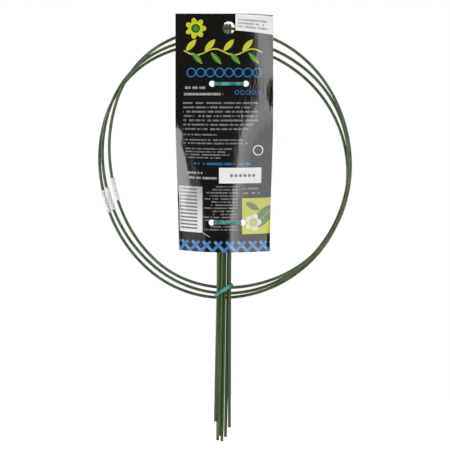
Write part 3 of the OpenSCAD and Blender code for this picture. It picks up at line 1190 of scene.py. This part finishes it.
@dataclass
class Studio:
    """White floor, soft boxes and strips round the pack, a soft sky and a camera straight in front."""

    aim: Triple = (-0.0026, 0.0, -0.1411)
    view_width: float = 0.322
    distance: float = 5.0
    sensor: float = 36.0
    floor_z: float = -0.36
    floor_width: float = 8.0
    floor_back: float = 4.0
    floor_front: float = 0.5
    sky: float = 0.33
    room: float = 0.04
    lamps: tuple[SoftBox, ...] = (
        SoftBox("right_box", 39.1, 0.08, 1.0, 1.169, 0.8, 5.1),
        SoftBox("right_strip", 15.9, 0.08, 1.0, 0.249, 0.8, 0.38),
        SoftBox("narrow_right_strip", 11.9, 0.08, 1.0, 0.108, 0.8, 0.165),
        SoftBox("left_strip", -51, -0.19, 1.0, 0.407, 0.235, 1.23),
        SoftBox("low_left_strip", -33, -0.237, 1.0, 0.21, 0.125, 0.34),
        SoftBox("left_glow", -48.5, -0.03, 1.0, 0.708, 0.09, 0.11),
        SoftBox("left_box", -90, 0.15, 1.0, 0.6, 0.8, 7.5),
        SoftBox("top_box", -5, 1.1, 0.5, 0.8, 0.5, 2.0),
        SoftBox("back_box", 160, 0.5, 1.1, 1.0, 0.8, 5.0))

    def world(self) -> None:
        """A white backdrop behind the pack, a dim room before it, and a soft grey sky for the light."""
        world = bpy.data.worlds.new("studio")
        bpy.context.scene.world = world
        world.use_nodes = True
        shader = Shader(world.node_tree)
        _, backwards, _ = shader.parts("Generated")
        camera, mirror = shader.rays()
        seen = self.room + (1 - self.room) * backwards.above(0.0, 0.2)
        strength = camera + mirror * seen + (1 - camera - mirror) * self.sky
        light = shader.node("ShaderNodeBackground", {"Color": (1, 1, 1, 1), "Strength": strength})
        shader.node("ShaderNodeOutputWorld", {"Surface": light.outputs[0]})

    def floor(self, white: Finish) -> None:
        """A wide floor below the hanging pack, which ends a little in front of it."""
        bm = bmesh.new()
        bmesh.ops.create_grid(bm, x_segments=4, y_segments=4, size=0.5)
        bmesh.ops.scale(bm, vec=(self.floor_width, self.floor_back + self.floor_front, 1), verts=bm.verts)
        middle = (self.floor_back - self.floor_front) / 2
        bmesh.ops.translate(bm, vec=(0, middle, self.floor_z), verts=bm.verts)
        floor = put("floor", to_mesh("floor", bm))
        floor.data.materials.append(white.material())

    def light(self, box: SoftBox) -> None:
        """Hangs up a lamp that faces the pack and that the camera doesn't see."""
        lamp = bpy.data.lights.new(box.name, "AREA")
        lamp.shape = "RECTANGLE"
        lamp.size, lamp.size_y = box.width, box.height
        lamp.energy = box.power
        holder = put(box.name, lamp)
        turn = math.radians(box.bearing)
        aim = Vector(self.aim)
        holder.location = aim + Vector((box.reach * math.sin(turn), -box.reach * math.cos(turn), box.rise))
        holder.rotation_euler = (aim - holder.location).to_track_quat("-Z", "Y").to_euler()
        holder.visible_camera = False

    def camera(self) -> None:
        """A long lens, level with the middle of the picture."""
        camera = bpy.data.cameras.new("front")
        camera.sensor_width = self.sensor
        camera.lens = self.sensor * self.distance / self.view_width
        holder = put("front", camera)
        holder.location = Vector(self.aim) + Vector((0, -self.distance, 0))
        holder.rotation_euler = (math.radians(90), 0, 0)
        bpy.context.scene.camera = holder

    def build(self, white: Finish) -> None:
        """Sets up everything round the pack."""
        bpy.context.scene.view_settings.view_transform = "Standard"
        self.camera()
        self.world()
        self.floor(white)
        for box in self.lamps:
            self.light(box)


def main() -> None:
    """Loads the frame and builds the pack and the studio."""
    logging.basicConfig(level=logging.INFO, format="%(name)s: %(message)s")
    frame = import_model()
    shape = CardShape()
    Studio().build(StageWhite("stage_white", srgb(236, 236, 235), lift=0.28, near=0.15, far=0.45))
    WireWork(frame["nodes"]).build(
        CoatedWire("ring_coating", srgb(57, 72, 45), srgb(81, 97, 66), Grain.ROUND),
        CoatedWire("leg_coating", srgb(45, 64, 26), srgb(64, 86, 40), Grain.UPRIGHT),
        MilkyTube("milky_sleeve", srgb(207, 207, 204), srgb(224, 224, 222)),
        DrawnSteel("steel_core", srgb(176, 178, 182), srgb(120, 118, 114)))
    HangCard(shape).build(
        PrintedCard("card_print", shape.width, shape.height),
        RawBoard("card_back", srgb(206, 202, 194), srgb(170, 164, 154)),
        RawBoard("card_edge", srgb(190, 188, 184), srgb(120, 118, 114)))
    half = shape.width / 2
    Sticker("price_sticker", half - 27, half, (0.2, 0.9), (12.0, 14.4), 0.01, shape).build(Marking.LINES)
    Sticker("date_sticker", -3.8, 26.9, (110.4, 110.4), (121.6, 121.6), 0.06, shape).build(Marking.DOTS)
    plastic = TiePlastic("tie_ribbon", srgb(36, 114, 113), srgb(90, 160, 156)).material()
    Ties(shape).build(plastic)


if __name__ == "__main__":
    main()
